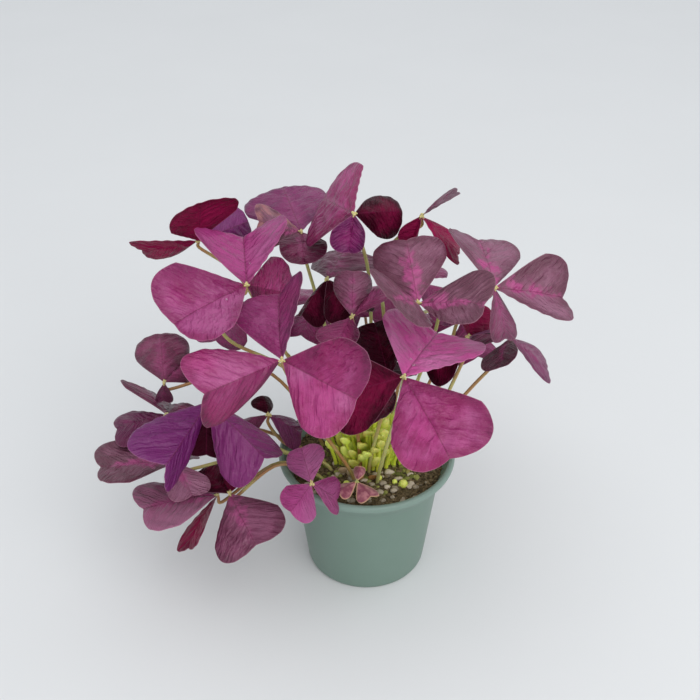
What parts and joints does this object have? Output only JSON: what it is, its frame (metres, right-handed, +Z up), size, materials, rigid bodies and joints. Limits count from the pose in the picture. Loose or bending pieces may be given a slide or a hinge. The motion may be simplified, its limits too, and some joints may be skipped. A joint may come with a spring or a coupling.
{
  "type": "potted purple shamrock",
  "caption": "Potted purple shamrock: clover-like leaves of triangular leaflets on long thin stalks, growing from soil in a round tapered nursery pot.",
  "frame": {"origin": "middle of the pot's base, on the surface that it stands on", "axes": "+Z up; -Y towards the front, where the nearest leaves are; +X to the right as seen from the front"},
  "size_m": [0.2625, 0.2558, 0.242],
  "materials": {
    "pot_plastic": "grey-green moulded plastic, satin",
    "soil": "damp potting compost with pale grit",
    "leaf": "matt purple leaf, wine red underneath",
    "stalk": "yellow-green to reddish, soft sheen",
    "young_leaf": "pinkish young leaf, matt",
    "shoot": "pale green, soft sheen"
  },
  "bodies": {
    "root": {"pot": "pot_plastic", "soil": "soil", "leaf_01": "leaf", "leaf_02": "leaf", "leaf_03": "leaf", "leaf_04": "leaf", "leaf_05": "leaf", "leaf_06": "leaf", "leaf_07": "leaf", "leaf_08": "leaf", "leaf_09": "leaf", "leaf_10": "leaf", "leaf_11": "leaf", "leaf_12": "leaf", "leaf_13": "leaf", "leaf_14": "leaf", "leaf_15": "leaf", "leaf_16": "leaf", "leaf_17": "leaf", "leaf_18": "leaf", "leaf_19": "leaf", "leaf_20": "leaf", "leaf_21": "leaf", "leaf_22": "leaf", "leaf_23": "leaf", "leaf_24": "leaf", "leaf_25": "leaf", "leaf_26": "leaf", "leaf_27": "leaf", "stalk_01": "stalk", "stalk_02": "stalk", "stalk_03": "stalk", "stalk_04": "stalk", "stalk_05": "stalk", "stalk_06": "stalk", "stalk_07": "stalk", "stalk_08": "stalk", "stalk_09": "stalk", "stalk_10": "stalk", "stalk_11": "stalk", "stalk_12": "stalk", "stalk_13": "stalk", "stalk_14": "stalk", "stalk_15": "stalk", "stalk_16": "stalk", "stalk_17": "stalk", "stalk_18": "stalk", "stalk_19": "stalk", "stalk_20": "stalk", "stalk_21": "stalk", "stalk_22": "stalk", "stalk_23": "stalk", "stalk_24": "stalk", "stalk_25": "stalk", "stalk_26": "stalk", "stalk_27": "stalk", "young_leaf": "young_leaf", "young_shoots": "shoot"}
  },
  "joints": []
}
